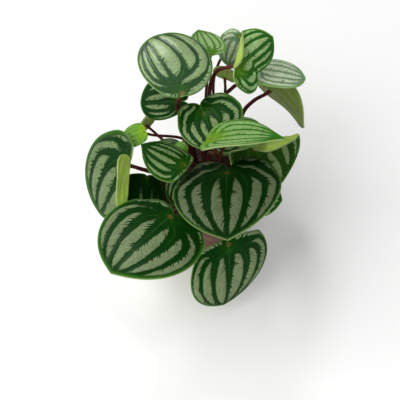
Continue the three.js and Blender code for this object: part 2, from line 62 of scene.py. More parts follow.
# One row for each leaf, in millimetres, degrees and hundredths. at: the point of the blade over its stalk.
# heading, pitch, roll: the way the tip points, how far it is raised, and how far the right side is raised.
# reach, back, width: from that point to the tip, to the lobes, and across. arch, cup: how far the blade bends
# along and across. tip, notch, lobe, skew, full: the drawn-out tip, the notch over the stalk, the lobes
# beside it, the heavier side, and the fuller end, in hundredths. slim: whether the stalk is a thin one. foot,
# via: where it stands in the soil, and what it passes. Last in a row stands what few leaves have. turn: a
# part that is folded over, toward a direction clockwise from the tip. dent: a bay in the edge. crease: a fold
# along the midrib. seat: how far the stalk is from the blade's middle, in hundredths.
COLUMNS = ("number at heading pitch roll reach back width arch cup tip notch lobe skew full slim foot "
           "via").split()
ROWS = (
    (1, (-14, 9, 131), 105, 14, -5, 43, 3, 38, 25, 13, -1, 2, -3, 13, 16, False,
     (-5.5, 7), ((-11, 7, 87), (-17, 14, 112)), dict(seat=44)),
    (2, (2, 45, 120), 108, 3, -11, 19, 1, 18, 21, 0, 12, 9, 1, 17, 15, True,
     (-1, 12), ((-1, 27, 88), (0, 37, 107)), {}),
    (3, (19, 66, 110), -120, -54, 38, 19, 4, 22, 21, 19, 7, 9, 6, 4, -9, True,
     (6.5, 12.5), ((5, 28, 72), (5, 55, 89)), {}),
    (4, (17, 33, 125), 44, -2, -38, 30, 7, 38, 20, 40, 9, 16, 4, 23, -8, False,
     (1.5, 6.5), ((1, 26, 103), (5, 33, 119)),
     dict(turn=dict(toward=-123, start=0, radius=2, angle=88), dent=dict(toward=47, depth=40, spread=17))),
    (5, (29, 46, 104), -3, 1, 24, 29, 6, 33, 22, 9, 3, 7, 0, -4, 9, False,
     (7.5, 7), ((7, 31, 88), (15, 38, 97)), {}),
    (6, (39, 50, 78), -36, -10, 75, 29, 10, 41, 29, -15, 7, 12, 4, 25, 7, False,
     (14, 8.5), ((21, 32, 76), (28, 41, 79)), {}),
    (7, (11, 48, 94), -56, 80, 53, 15, 2, 16, 17, 16, 8, 12, 4, 3, -1, True,
     (2, 17.5), ((10, 38, 82), (11, 43, 89)), {}),
    (8, (-17, 21, 107), 179, -5, 30, 22, 8, 25, 22, 18, 1, 16, 0, 30, 20, False,
     (-6.5, 14), ((-10, 20, 73), (-14, 23, 89)), {}),
    (9, (-2, 3, 120), -72, 8, -10, 23, 13, 42, 28, 0, 1, 10, 6, -13, -28, False,
     (2.5, 1), ((-3, -3, 92), (-2, 0, 108)), {}),
    (10, (2, -24, 135), -2, 29, 32, 31, 6, 35, 27, -9, 25, 12, 1, -17, -21, False,
     (2.5, -5), ((1, -7, 93), (4, -23, 120)), {}),
    (11, (-37, 11, 90), -165, -17, 18, 15, 2, 13, 25, 13, 5, 12, 2, 12, 5, True,
     (-16.5, 3.5), ((-12, 13, 77), (-33, 12, 86)), {}),
    (12, (-37, 25, 77), 46, 66, 84, 15, 5, 18, 22, 13, 6, 12, 5, 5, 1, True,
     (-11.5, 7), ((-23, 16, 67), (-31, 21, 74)), {}),
    (13, (-46, -8, 84), -140, -45, -4, 39, 13, 60, 22, 10, 2, 22, 7, 15, -10, False,
     (-14, -5), ((-30, -3, 66), (-39, -6, 77)), dict(turn=dict(toward=-124, start=-1, radius=4, angle=79))),
    (14, (-12, -20, 103), 148, 2, -9, 26, 2, 25, 12, 17, 13, 9, 0, -25, 3, False,
     (-1, -9.5), ((-1, -12, 73), (-12, -14, 90)), {}),
    (15, (-18, 3, 90), 157, -11, -36, 12, 4, 14, 22, 17, 5, 12, 4, 0, 0, True,
     (-6.5, -4), ((-7, -4, 64), (-9, 0, 75)), {}),
    (16, (-36, -5, 65), -87, -2, 22, 28, 3, 30, 33, 24, 4, 12, 2, 30, 13, False,
     (-11, 0), ((-16, 1, 57), (-30, -2, 57.5)), {}),
    (17, (-21, -43, 85), -128, 22, -2, 49, 8, 59, 22, 16, 5, 15, 7, -2, -4, False,
     (-4.5, -15), ((-6, -23, 66), (-19, -37, 79)), {}),
    (18, (11, -24, 101), -94, 27, -11, 43, 17, 62, 44, 1, 8, 18, 8, -1, -7, False,
     (8.5, -7.5), ((8, -10, 81), (9, -18, 93)), {}),
    (19, (12, -48, 62), -80, -52, 22, 45, 4, 51, 32, 21, 5, 9, 0, -16, 19, False,
     (3.5, -13.5), ((5, -18, 63), (6, -25, 64)), {}),
    (20, (27, -3, 93), -28, -49, -20, 31, 15, 50, 15, -12, 1, 12, 5, -10, -3, False,
     (14, -5.5), ((16, -6, 63), (17, -5, 67)), dict(turn=dict(toward=-149, start=0, radius=4, angle=100))),
    (21, (5, 5, 94), -1, -14, -6, 14, 7, 20, 26, 15, 5, 12, 4, 1, 3, True,
     (12.5, 2.5), ((14, 3, 65), (13, 4, 71)), {}),
    (22, (24, -28, 87), 2, -24, -24, 21, 6, 25, 24, 15, 9, 12, 4, 1, 0, True,
     (10, -14), ((16, -23, 68), (20, -26, 76)), {}),
    (23, (14, -2, 111), 12, -6, 5, 19, 6, 23, 24, 16, 3, 12, 4, 2, 0, True,
     (8, -1.5), ((9, -3, 68), (7, -8, 93)), {}),
    (24, (-18, 5, 76), 168, -6, 6, 18, 5, 21, 25, 15, 5, 12, 4, 1, -1, True,
     (-4.5, 1.5), ((-6, 2, 63), (-9, 3, 66)), {}),
    (25, (-12, -8, 71), -128, -32, -1, 18, 6, 22, 26, 15, 8, 12, 4, 2, -2, True,
     (-7.5, -10), ((-9, -10, 63), (-11, -8, 68)), {}),
    (26, (-13, -4, 95), 165, 35, 20, 6, 2, 8, 70, 10, 8, 8, 2, 0, 0, True,
     (-1.5, -4), ((-3, -5, 72), (-8, -7, 86)), dict(crease=50)),
)
LEAVES = [{**dict(zip(COLUMNS, row)), **rare} for *row, rare in ROWS]

# What sets single leaves apart. young: brighter and yellower. fresh: how far one plain green covers the
# stripes. pale: greyed over with a painted sheen. gloss: the sheen on top. tone, under_tone: how light the
# upper and the under face are painted, partly the leaf's own lightness and partly painted light and shade.
# heart: the size of the green heart over the stalk. veer: how many degrees the pattern is turned. midrib: how
# much thinner the middle vein is, as a share of the blade's width. band, margin: half the width of the dark
# bands and the width of the green margin, in hundredths of the blade's width.
LOOKS = {
    1: dict(heart=1, veer=13, midrib=0.012, young=0.3, pale=0.1, gloss=0.8, tone=1.1, band=2.7, margin=3.2),
    2: dict(heart=0.6, young=0.65, fresh=0.2, pale=0.4, tone=1.25, band=2.8),
    3: dict(heart=0.5, pale=1, tone=2.35, band=3.6),
    4: dict(heart=0.5, young=0.6, pale=0.1, tone=1.5, band=3.1),
    5: dict(heart=0.25, pale=1, tone=2.05, band=3.2),
    6: dict(under_tone=0.60),
    7: dict(young=0.5, tone=0.8),
    8: dict(young=0.25, gloss=0.03, tone=0.72, band=4.6),
    9: dict(heart=1.05, young=0.3, gloss=0.06, tone=0.72, band=3.4, margin=3),
    10: dict(heart=0.7, young=0.95, fresh=0.04, gloss=0.03, tone=0.79, band=2.3),
    11: dict(young=1, fresh=0.7, tone=0.95, band=3.5),
    12: dict(young=0.6, tone=0.7),
    13: dict(heart=1, young=0.25, gloss=0.3, tone=0.68, under_tone=2.1, band=2.5, margin=5),
    14: dict(young=0.5, tone=0.64, band=3.7),
    15: dict(young=0.45, fresh=0.05, tone=0.78, band=3.2),
    16: dict(heart=1.7, young=0.2, tone=0.5, band=5),
    17: dict(heart=1.45, gloss=0.08, tone=0.86, band=2.2, margin=3.6),
    18: dict(heart=1.55, tone=0.54, band=1.9, margin=1.6),
    19: dict(heart=1.3, tone=1.08, band=2, margin=2),
    20: dict(heart=1.1, young=0.4, fresh=0.1, tone=0.76, under_tone=1.08, band=4.2, margin=3),
    21: dict(young=0.4, tone=1.1, under_tone=0.72, band=3),
    22: dict(young=0.5, tone=1.3),
    23: dict(young=0.5, tone=1.5),
    24: dict(tone=0.6),
    25: dict(tone=0.6),
    26: dict(young=1, fresh=0.4),
}
PLAIN_LOOK = dict(young=0, fresh=0, pale=0, gloss=0, tone=1, under_tone=1, heart=0.9, veer=0, midrib=0)

# The same measures as the frame's own solids: lengths in millimetres, the lean of a stalk's foot as a share
# of its distance from the middle, the height of the waves as a share of the width, and the seat as a share of
# the length.
SOIL_TOP = 50
STALK_RADII = (1.6, 1.1)
SLIM_RADII = (1.1, 0.8)
STALK_DEPTH = 4
STALK_LEAN = 0.04
WAVE = 0.012
WAVES = 4
SEAT = 0.27
CREASE_ROUNDING = 3
POT_HEIGHT = 53
BASE_RADIUS = 23
RIM_RADIUS = 34
RIM_DEPTH = 10
WALL = 1.6
FLOOR = 2
DRAIN_COUNT = 6
DRAIN_RADIUS = 2.6
DRAIN_HEIGHT = 1.4
DRAIN_SPAN = (16, BASE_RADIUS + 5)

# How far a dressed piece may stray from its solid, in metres.
STRAY = {"pot": 0.002, "soil": 0.003, "stalk": 0.003, "blade": 0.004}


# ---- Settings ----


def colour(name, description, default):
    return FloatVectorProperty(name=name, description=description, default=default, size=3, min=0, max=1,
                               subtype="COLOR")


def millimetres(name, description, default, low, high):
    return FloatProperty(name=name, description=description, default=default * MM, min=low * MM,
                         max=high * MM, unit="LENGTH")


def fraction(name, description, default, low, high):
    return FloatProperty(name=name, description=description, default=default, min=low, max=high,
                         subtype="FACTOR")


def watts(name, description, default):
    return FloatProperty(name=name, description=description, default=default, min=0, max=200, unit="POWER")


class LeafSettings(PropertyGroup):
    """Sizes and colours of the blades and the stalks."""
    thickness: millimetres("Blade thickness", "Thickness of a blade at its middle", 1.2, 0.6, 3)
    edge: fraction("Edge thickness", "Thickness at the edge, as a share of the middle's", 0.7, 0.4, 1)
    band: fraction("Vein band", "Half the width of a dark band, as a share of the blade's width", 0.03,
                   0.01, 0.08)
    margin_width: fraction("Margin", "Width of the green margin, as a share of the blade's width", 0.03,
                           0, 0.08)
    relief: millimetres("Quilting", "How far the silver stripes stand proud of the veins", 0.45, 0, 1)
    dark: colour("Vein green", "The dark green along the veins", (0.0022, 0.036, 0.0020))
    silver: colour("Silver", "The silver green between the veins", (0.180, 0.240, 0.118))
    margin: colour("Margin green", "The fresh green along the edge", (0.035, 0.150, 0.010))
    under: colour("Underside green", "The pale green of the underside", (0.240, 0.350, 0.055))
    stalk: colour("Stalk maroon", "The dark red of the stalks", (0.036, 0.0075, 0.0060))


class PotSettings(PropertyGroup):
    """Sizes and colours of the pot and the soil."""
    sides: IntProperty(name="Pot sides", description="Number of flats round the pot", default=96,
                       min=32, max=256)
    pot: colour("Pot", "Colour of the pot", (0.17, 0.062, 0.036))
    soil: colour("Soil", "Colour of the moist soil", (0.022, 0.013, 0.008))
    crumbs: IntProperty(name="Crumbs", description="Number of loose crumbs of bark on the soil", default=150,
                        min=0, max=600)


class StageSettings(PropertyGroup):
    """Floor, light and camera."""
    floor: colour("Floor", "Colour of the floor", (0.88, 0.88, 0.88))
    key: watts("Key light", "Power of the large soft light", 12.5)
    sheen: watts("Sheen light", "Power of the small light behind, seen as a sheen", 5.0)
    fill: watts("Fill light", "Power of the light beside the camera", 15.0)
    lens: FloatProperty(name="Lens", description="Focal length for a 36 mm sensor", default=93.0,
                        min=20, max=300, unit="CAMERA")


# ---- Shape of a blade ----


def outline(theta, tip, notch, lobe, seat):
    """Distance of the edge from the stalk, for a blade of unit length, in the direction theta off the tip."""
    a = np.abs(theta)
    shield = seat * np.cos(a) + np.sqrt(0.25 - (seat * np.sin(a)) ** 2)
    lobes = lobe * np.exp(-((a - 2.4) / 0.5) ** 2)
    return shield + lobes + tip * np.exp(-a / 0.2) - notch * np.exp(-(math.pi - a) / 0.3)


TURN_STEPS = 721
HALF_TURN = np.linspace(0, math.pi, TURN_STEPS)
PLAIN = outline(HALF_TURN, 0, 0, 0.04, SEAT)
HALF_WIDTH = (PLAIN * np.sin(HALF_TURN)).max()
BEHIND = -(PLAIN * np.cos(HALF_TURN)).min()


def seat_of(leaf):
    return leaf.get("seat", SEAT * 100) / 100


def flat_reach(leaf, theta):
    """Length of the blade's unit along the midrib, ahead of the stalk or behind it."""
    seat = seat_of(leaf)
    return np.where(np.cos(theta) > 0, leaf["reach"] / (0.5 + seat), leaf["back"] / (BEHIND + SEAT - seat))


def rim_of(leaf, theta):
    return outline(theta, leaf["tip"] / 100, leaf["notch"] / 100, leaf["lobe"] / 100, seat_of(leaf))


def wrap(angle):
    return np.arctan2(np.sin(angle), np.cos(angle))


def flat_points(leaf, theta, rho):
    """Points of the flat blade: x to the right of the tip, y toward it, and x before it is made lopsided."""
    r = rim_of(leaf, theta)
    if "dent" in leaf:
        off = wrap(theta - leaf["dent"]["toward"] * RAD) / (leaf["dent"]["spread"] * RAD)
        r = r * (1 - leaf["dent"]["depth"] / 100 * np.exp(-off * off))
    s, c = np.sin(theta), np.cos(theta)
    even = rho * r * s * leaf["width"] / (2 * HALF_WIDTH)
    x = even * (1 + leaf["skew"] / 100 * s) * (1 + leaf["full"] / 100 * c)
    y = rho * r * c * flat_reach(leaf, theta)
    return x, y, even


def rolled(along, height, curvature):
    """Rolls one axis of the blade up or down round a circle."""
    if abs(curvature) < 1e-9:
        return along, height
    radius = 1 / curvature
    angle = curvature * along
    return (radius + height) * np.sin(angle), (radius + height) * np.cos(angle) - radius


def bend(leaf, x, y, theta, rho, rise):
    """Waves, crease and turned-over part, then the cup across and the arch along."""
    z = WAVE * leaf["width"] * rho * rho * np.sin(WAVES * theta + (leaf["number"] - 1)) + rise
    if "crease" in leaf:
        z = z + math.tan(leaf["crease"] * RAD) * (np.hypot(x, CREASE_ROUNDING) - CREASE_ROUNDING)
        x = x * math.cos(leaf["crease"] * RAD)
    if "turn" in leaf:
        turn = leaf["turn"]
        dx, dy = math.sin(turn["toward"] * RAD), math.cos(turn["toward"] * RAD)
        radius, most = turn["radius"], turn["angle"] * RAD
        past = x * dx + y * dy - turn["start"]
        run = np.maximum(past, 0)
        a = np.minimum(run / radius, most)
        over = np.maximum(run - radius * most, 0)
        inner = radius - z
        along = inner * np.sin(a) + over * np.cos(a)
        lifted = radius - inner * np.cos(a) + over * np.sin(a)
        x = np.where(past > 0, x + dx * (along - past), x)
        y = np.where(past > 0, y + dy * (along - past), y)
        z = np.where(past > 0, lifted, z)
    x, z = rolled(x, z, leaf["cup"] * RAD / (leaf["width"] / 2))
    y, z = rolled(y, z, leaf["arch"] * RAD / (leaf["reach"] + leaf["back"]))
    return np.stack([x, y, z], -1)


def axes_of(leaf):
    """The blade's own axes: right of the tip, toward the tip, and up out of its upper face."""
    h, p, r = (leaf[k] * RAD for k in ("heading", "pitch", "roll"))
    tip = np.array([math.cos(h) * math.cos(p), math.sin(h) * math.cos(p), math.sin(p)])
    level = np.array([math.sin(h), -math.cos(h), 0.0])
    side = level * math.cos(r) + np.cross(level, tip) * math.sin(r)
    return side, tip, np.cross(side, tip)


def blade_points(leaf, theta, rho, rise=0.0):
    x, y, _ = flat_points(leaf, theta, rho)
    local = bend(leaf, x, y, theta, rho, rise)
    side, tip, face = axes_of(leaf)
    return np.array(leaf["at"], float) + local[:, :1] * side + local[:, 1:2] * tip + local[:, 2:] * face


NEAR_STALK = 1e-3


def face_normal(leaf):
    theta = np.array([math.pi / 2, -math.pi / 2, 0.0, math.pi])
    right, left, front, rear = blade_points(leaf, theta, np.full(4, NEAR_STALK))
    n = np.cross(right - left, front - rear)
    return n / norm(n)


# ---- Veins ----

# Where the dark bands run, from the middle vein at 0 to the rim at 1, and how much thinner each is than the
# midrib, as a share of the width.
BAND_PLACES = (0.395, 0.72, 0.94)
BAND_THINNING = (0.0, 0.004, 0.016)
# Behind the widest place the bands are drawn in toward the stalk, the outer ones less.
DRAWN_IN, DRAWN_POWER = 0.5, 10
# How far the vein green spreads over the stalk, in shares of the width, and how far from it, in shares of the
# reach.
HEART_GROWTH, HEART_SHARE = 0.055, 0.33
# Steps along the pattern, halvings of the search across it, and the step in millimetres that finds its slope.
LEVELS, HALVINGS, PROBE = 240, 18, 0.03


def pattern_place(leaf, theta, rho, veer):
    """Where points of the flat blade lie on the pattern: x across and y along its middle vein."""
    _, y, x = flat_points(leaf, theta, rho)
    c, s = math.cos(veer * RAD), math.sin(veer * RAD)
    return x * c + y * s, y * c - x * s


def across_of(leaf, veer):
    """A function that tells how far across the pattern a point is: 0 on the middle vein, 1 on the rim.
    The lines of equal value run from near the stalk around the lobes to the tip, as the veins do."""
    x, y = pattern_place(leaf, np.linspace(-math.pi, math.pi, TURN_STEPS), np.ones(TURN_STEPS), veer)
    levels = np.linspace(y.min(), y.max(), LEVELS)
    share = (levels[:, None] - y[:-1]) / (np.diff(y) + 1e-9)
    cut = np.where((share >= 0) & (share <= 1), x[:-1] + share * np.diff(x), 0)
    right, left = np.maximum(cut.max(1), 0.05), np.maximum(-cut.min(1), 0.05)
    fade = 0.15 * leaf["width"]

    def across(x, y):
        on_right = x >= 0
        turn = np.where(on_right, levels[right.argmax()], levels[left.argmax()])
        low, high = np.zeros(len(x)), np.ones(len(x))
        for _ in range(HALVINGS):
            middle = (low + high) / 2
            drawn_in = DRAWN_IN + (1 - DRAWN_IN) * middle ** DRAWN_POWER
            level = np.where(y < turn, turn + (y - turn) / drawn_in, y)
            side = np.where(on_right, np.interp(level, levels, right), np.interp(level, levels, left))
            inside = middle * side * np.clip(1 - (levels[0] - level) / fade, 0.02, 1) > np.abs(x)
            high = np.where(inside, middle, high)
            low = np.where(inside, low, middle)
        return (low + high) / 2

    return across


def vein_fields(leaf, theta, rho, heart_size, veer, midrib):
    """For each point: how far it is from the nearest vein, which stripe it is in, and how far it is along the
    stripe, from the stalk and from the edge, as shares of the width, or of the reach for from_stalk."""
    width = float(leaf["width"])
    x, y = pattern_place(leaf, theta, rho, veer)
    across = across_of(leaf, veer)
    here = across(x, y)
    side_step = (across(x + np.where(x < 0, -PROBE, PROBE), y) - here) / PROBE
    front_step = (across(x, y + PROBE) - here) / PROBE
    slope = np.clip(np.hypot(side_step, front_step), 0.2 / width, 60 / width)
    away = np.abs(x) + midrib * width
    for n, band in enumerate(BAND_PLACES):
        away = np.minimum(away, np.abs(here - band) / slope + BAND_THINNING[n] * width)
    from_stalk = np.hypot(x, y)
    reach = leaf["reach"] + 0.3 * leaf["back"]
    heart = HEART_GROWTH * np.exp(-(from_stalk / (heart_size * HEART_SHARE * reach)) ** 2)
    stripe = np.sign(x) * np.interp(here, [0, *BAND_PLACES, 1], [0, 1, 2, 3, 3.5])
    scale = np.hypot(np.sin(theta) * width / (2 * HALF_WIDTH), np.cos(theta) * flat_reach(leaf, theta))
    edge = (1 - rho) * rim_of(leaf, theta) * scale / width
    along = (from_stalk + y) / (2 * width) - 0.5 * here
    return dict(vein=away / width - heart, line=away / width, stripe=stripe, from_stalk=from_stalk / reach,
                edge=edge, along=along)


def smooth(low, high, value):
    t = np.clip((value - low) / (high - low), 0, 1)
    return t * t * (3 - 2 * t)


# ---- Mesh helpers ----


def deselect():
    if bpy.context.object and bpy.context.object.mode != "OBJECT":
        bpy.ops.object.mode_set(mode="OBJECT")
    bpy.ops.object.select_all(action="DESELECT")


def only(piece):
    deselect()
    piece.select_set(True)
    bpy.context.view_layer.objects.active = piece


def apply_modifiers(piece):
    only(piece)
    for modifier in list(piece.modifiers):
        bpy.ops.object.modifier_apply(modifier=modifier.name)


def sheet(name, across, along):
    """A flat grid whose columns and rows are then laid along a shape. Returns it with u and v from 0 to 1."""
    deselect()
    bpy.ops.mesh.primitive_grid_add(x_subdivisions=across, y_subdivisions=along, size=2)
    piece = bpy.context.object
    piece.name = name
    piece.data.name = name
    flat = np.zeros(len(piece.data.vertices) * 3)
    piece.data.vertices.foreach_get("co", flat)
    flat = flat.reshape(-1, 3)
    return piece, (flat[:, 0] + 1) / 2, (flat[:, 1] + 1) / 2


def place(piece, points):
    piece.data.vertices.foreach_set("co", np.asarray(points, float).ravel())
    piece.data.update()


def edit_all(piece, operation, **options):
    """Runs one operator of edit mode on the whole piece."""
    only(piece)
    bpy.ops.object.mode_set(mode="EDIT")
    bpy.ops.mesh.select_all(action="SELECT")
    operation(**options)
    bpy.ops.object.mode_set(mode="OBJECT")


def weld(piece):
    edit_all(piece, bpy.ops.mesh.remove_doubles, threshold=1e-6)


def face_out(piece):
    edit_all(piece, bpy.ops.mesh.normals_make_consistent, inside=False)


def smooth_faces(piece, angle):
    only(piece)
    bpy.ops.object.shade_smooth_by_angle(angle=angle * RAD, keep_sharp_edges=False)


def modify(piece, name, kind, **values):
    modifier = piece.modifiers.new(name, kind)
    for key, value in values.items():
        setattr(modifier, key, value)


def round_edges(piece, name, width, angle):
    """Adds a bevel, in millimetres, to edges sharper than the angle."""
    modify(piece, name, "BEVEL", width=width * MM, segments=2, limit_method="ANGLE", angle_limit=angle * RAD)


def joined(parts):
    """The parts as one object."""
    deselect()
    for part in parts:
        part.select_set(True)
    bpy.context.view_layer.objects.active = parts[0]
    bpy.ops.object.join()
    return bpy.context.object


def dress(piece, *materials):
    piece.data.materials.clear()
    for material in materials:
        piece.data.materials.append(material)


def points_of(piece):
    return np.array([vertex.co for vertex in piece.data.vertices])


def keep_values(piece, name, values):
    layer = piece.data.attributes.new(name, "FLOAT", "POINT")
    layer.data.foreach_set("value", np.asarray(values, np.float32))


def same_points(piece, node):
    """Stops when a piece has strayed from the solid that it stands for."""
    low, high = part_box(node)
    points = points_of(piece)
    stray = max(abs(points.min(0) - np.array(low)).max(), abs(points.max(0) - np.array(high)).max())
    if stray > STRAY[node.split("_")[-1]]:
        raise RuntimeError(f"{piece.name} strays {stray * 1000:.1f} mm from {node}")


def hand_over(piece, node):
    """The piece rides with the plant and stands for its solid."""
    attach(piece, "root")
    if node:
        same_points(piece, node)
        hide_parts(node)


# ---- Shading ----

# Colours that the chosen ones turn into: on young leaves, under the painted sheen of pale leaves, at the
# edge, over the stalk, and in patches.
YOUNG_DARK, PAINTED_SHEEN_DARK = (0.022, 0.17, 0.005), (0.1, 0.15, 0.088)
YOUNG_SILVER, PAINTED_SHEEN_SILVER = (0.25, 0.43, 0.14), (0.25, 0.285, 0.215)
YOUNG_MARGIN, FRESH_GREEN, EDGE_GREEN = (0.11, 0.3, 0.012), (0.14, 0.28, 0.035), (0.17, 0.27, 0.085)
HEART_GREEN, YOUNG_HEART = (0.01, 0.065, 0.003), (0.19, 0.38, 0.012)
MIDRIB_GREEN, YOUNG_MIDRIB = (0.045, 0.13, 0.02), (0.2, 0.38, 0.05)
SCAR_BROWN, FLECK_BROWN = (0.13, 0.1, 0.022), (0.05, 0.032, 0.01)
YOUNG_UNDER, UNDER_VEIN, UNDER_SCAR = (0.34, 0.48, 0.08), (0.34, 0.4, 0.12), (0.16, 0.035, 0.02)
CUT_GREENS = ((0.2, 0.32, 0.09), (0.28, 0.37, 0.14))
STALK_PATCH, STALK_END, STALK_FOOT = (0.07, 0.014, 0.011), (0.17, 0.042, 0.026), (0.045, 0.022, 0.012)
SOIL_PATCH, SOIL_GRIT = (0.036, 0.022, 0.013), (0.1, 0.065, 0.04)
BARK_BROWNS = ((0.045, 0.024, 0.012), (0.16, 0.085, 0.04))
POT_PATCH, POT_SCUFF, POT_DUST = (0.14, 0.05, 0.029), (0.24, 0.12, 0.08), (0.11, 0.07, 0.045)


class Nodes:
    """Short hands for building a node tree."""

    def __init__(self, tree, shader=None):
        self.tree, self.shader = tree, shader

    def add(self, kind, given=(), **values):
        """A node with these properties, and with these inputs by their names or places."""
        node = self.tree.nodes.new("ShaderNode" + kind)
        for key, value in values.items():
            setattr(node, key, value)
        for key, value in dict(given).items():
            self.fill(node.inputs[key], value)
        return node

    def link(self, source, target):
        self.tree.links.new(source, target)

    def fill(self, socket, value):
        if hasattr(value, "is_output"):
            self.link(value, socket)
        elif value is not None:
            socket.default_value = (*value, 1) if socket.type == "RGBA" else value

    def maths(self, operation, a, b=None, clamp=False):
        return self.add("Math", {0: a, 1: b}, operation=operation, use_clamp=clamp).outputs[0]

    def times(self, a, b):
        return self.maths("MULTIPLY", a, b)

    def plus(self, a, b):
        return self.maths("ADD", a, b)

    def minus(self, a, b):
        return self.maths("SUBTRACT", a, b)

    def ramp(self, value, low, high, start=0, end=1):
        """value from low to high, eased, becomes start to end."""
        span = {"Value": value, "From Min": low, "From Max": high, "To Min": start, "To Max": end}
        return self.add("MapRange", span, interpolation_type="SMOOTHSTEP").outputs["Result"]

    def mix(self, part, a, b, blend="MIX"):
        return self.add("Mix", {0: part, 6: a, 7: b}, data_type="RGBA", blend_type=blend,
                        clamp_factor=True).outputs[2]

    def layers(self, base, *others):
        """The base colour with others laid over it, each with its cover from 0 to 1."""
        for cover, tint in others:
            base = self.mix(cover, base, tint)
        return base

    def noise(self, vector, scale, detail, roughness):
        given = {"Vector": vector, "Scale": scale, "Detail": detail, "Roughness": roughness}
        return self.add("TexNoise", given, noise_dimensions="3D").outputs["Fac"]

    def kept(self, name):
        """A value that was kept on the points of the piece."""
        return self.add("Attribute", attribute_name=name).outputs["Fac"]

    def group(self, tree, **values):
        node = self.add("Group", node_tree=tree)
        for key, value in values.items():
            self.fill(node.inputs[key.replace("_", " ")], value)
        return node.outputs

    def place(self):
        return self.add("TexCoord").outputs["Object"]

    def paint(self, base, roughness):
        self.link(base, self.shader.inputs["Base Color"])
        self.link(roughness, self.shader.inputs["Roughness"])

    def bump(self, height, strength, distance):
        node = self.add("Bump", {"Strength": strength, "Distance": distance, "Height": height})
        self.link(node.outputs["Normal"], self.shader.inputs["Normal"])


def new_group(name, inputs, outputs):
    """A node group whose inputs are values with the given defaults, or places where there is none."""
    tree = bpy.data.node_groups.new(name, "ShaderNodeTree")
    for socket, default in inputs.items():
        kind = "NodeSocketVector" if default is None else "NodeSocketFloat"
        made = tree.interface.new_socket(socket, in_out="INPUT", socket_type=kind)
        if default is not None:
            made.default_value = default
    for socket in outputs:
        tree.interface.new_socket(socket, in_out="OUTPUT", socket_type="NodeSocketFloat")
    n = Nodes(tree)
    return tree, n, tree.nodes.new("NodeGroupInput").outputs, tree.nodes.new("NodeGroupOutput").inputs


def vein_pattern():
    """Silver stripes between feathered dark bands, with side veins, a green margin and a green heart."""
    name = "Vein pattern"
    if name in bpy.data.node_groups:
        return bpy.data.node_groups[name]
    tree, n, given, out = new_group(
        name, {"Vein": 0, "Stripe": 0, "Along": 0, "Edge": 0, "From stalk": 0, "Chance": 0,
               "Band": 0.027, "Margin": 0.035, "Glow": 0.22, "Place": None},
        ("Silver", "Margin", "Heart", "Spot", "Grain", "Cloud", "Fleck"))

    def drawn(along, across, seed):
        """Where a point lies on the drawing of a stripe's edge, stretched along and across the stripe."""
        factors = enumerate((("Along", along), ("Stripe", across), ("Chance", seed)))
        parts = {axis: n.times(given[value], factor) for axis, (value, factor) in factors}
        return n.add("CombineXYZ", parts).outputs[0]

    def streaks(along, across, seed, detail, roughness):
        """Uneven streaks on that drawing, from about -0.5 to 0.5."""
        return n.minus(n.noise(drawn(along, across, seed), 1, detail, roughness), 0.5)

    def side_veins(along, across, thickness):
        """1 on thin lines that leave the dark bands slantwise, 0 between them."""
        spot = drawn(along, across, 0)
        cells = n.add("TexVoronoi", {"Vector": spot, "Scale": 1}, voronoi_dimensions="2D")
        apart = n.add("VectorMath", {0: cells.outputs["Position"], 1: spot}, operation="SUBTRACT")
        parts = n.add("SeparateXYZ", {0: apart.outputs[0]})
        luck = n.add("SeparateColor", {0: cells.outputs["Color"]})
        thin = n.ramp(n.maths("ABSOLUTE", parts.outputs["X"]), 0, thickness * along, 1, 0)
        return n.times(thin, n.ramp(luck.outputs[0], 0, 1, 0.15, 1.15))

    near_stalk = n.ramp(given["From stalk"], 0.25, 0.85, 1, 0.3)
    outward = n.ramp(n.maths("FRACT", n.maths("ABSOLUTE", given["Stripe"])), 0.45, 0.62, 1, 0.08)
    barbs = n.maths("POWER", side_veins(24, 1.2, 0.015), 1.2)
    length = n.ramp(n.noise(drawn(14, 1.5, 53), 1, 0, 0.5), 0.3, 0.7, 0.004, 0.095)
    barbs = n.times(n.times(barbs, length), n.times(near_stalk, outward))
    ragged = n.times(streaks(34, 2, 37, 3, 0.65), n.ramp(given["From stalk"], 0.2, 0.6, 0.05, 0.018))
    shift = n.plus(ragged, n.times(streaks(6, 0.8, 91, 1, 0.5), 0.024))
    limit = n.plus(n.plus(given["Band"], shift), barbs)
    stripes = n.ramp(n.minus(given["Vein"], limit), -0.006, 0.01)
    web = n.times(side_veins(11, 1.1, 0.005), n.ramp(given["Vein"], 0.03, 0.12, 1, 0.25))
    silver = n.times(stripes, n.minus(1, n.times(web, 0.7)))
    inner = n.plus(given["Margin"], n.times(streaks(58, 2.6, 17, 2, 0.6), 0.03))
    inside = n.ramp(n.minus(given["Edge"], inner), -0.004, 0.01)
    silver = n.maths("MULTIPLY", silver, inside, clamp=True)
    n.link(silver, out["Silver"])
    n.link(n.ramp(given["Edge"], 0.01, n.times(inner, 1.3), 1, 0), out["Margin"])
    n.link(n.ramp(given["From stalk"], 0.02, given["Glow"], 1, 0), out["Heart"])
    n.link(n.ramp(given["From stalk"], 0.015, 0.05, 1, 0), out["Spot"])
    n.link(n.noise(given["Place"], 950, 2, 0.7), out["Grain"])
    n.link(n.noise(given["Place"], 90, 3, 0.5), out["Cloud"])
    n.link(n.ramp(n.noise(given["Place"], 240, 1, 0.4), 0.785, 0.8), out["Fleck"])
    return tree


def speckle():
    """Fine grain and broad patches, shared by stalks, leaf edges, pot, soil and crumbs."""
    name = "Fine grain"
    if name in bpy.data.node_groups:
        return bpy.data.node_groups[name]
    tree, n, given, out = new_group(name, {"Place": None, "Scale": 800, "Broad": 60}, ("Fine", "Patches"))
    n.link(n.noise(given["Place"], given["Scale"], 3, 0.6), out["Fine"])
    n.link(n.noise(given["Place"], given["Broad"], 3, 0.5), out["Patches"])
    return tree


